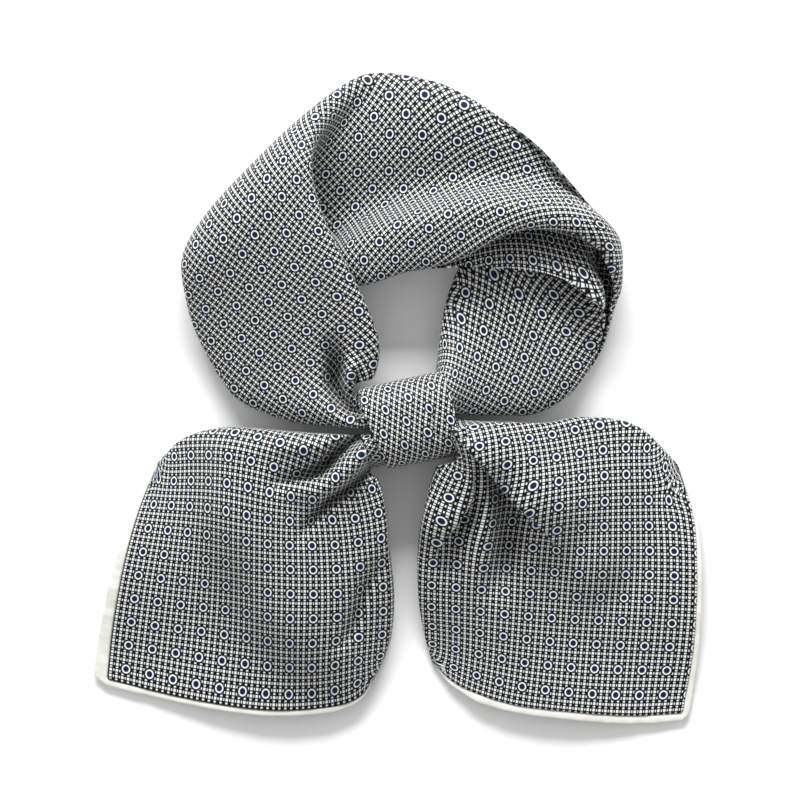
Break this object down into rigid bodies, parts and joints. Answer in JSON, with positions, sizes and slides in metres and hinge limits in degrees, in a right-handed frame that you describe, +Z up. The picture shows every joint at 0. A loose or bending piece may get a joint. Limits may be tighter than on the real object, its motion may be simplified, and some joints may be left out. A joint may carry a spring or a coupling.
{
  "type": "neckerchief",
  "caption": "Printed silk neckerchief, folded on the bias into a band, tied in a loop with a front knot, its white-hemmed ends fanned out flat.",
  "frame": {"origin": "on the table, under the middle of the whole outline", "axes": "+Z up from the table it lies on, +Y towards the back of the neck, +X to the right seen from above"},
  "size_m": [0.2098, 0.2224, 0.0298],
  "materials": {
    "printed_silk": "satin silk twill, fine black and white check with ring dots",
    "white_hem": "rolled silk hem, satin"
  },
  "bodies": {
    "root": {"neck_loop": "printed_silk", "knot_wrap": "printed_silk", "left_tail": "printed_silk", "right_tail": "printed_silk", "left_hem": "white_hem", "right_hem": "white_hem"}
  },
  "joints": []
}
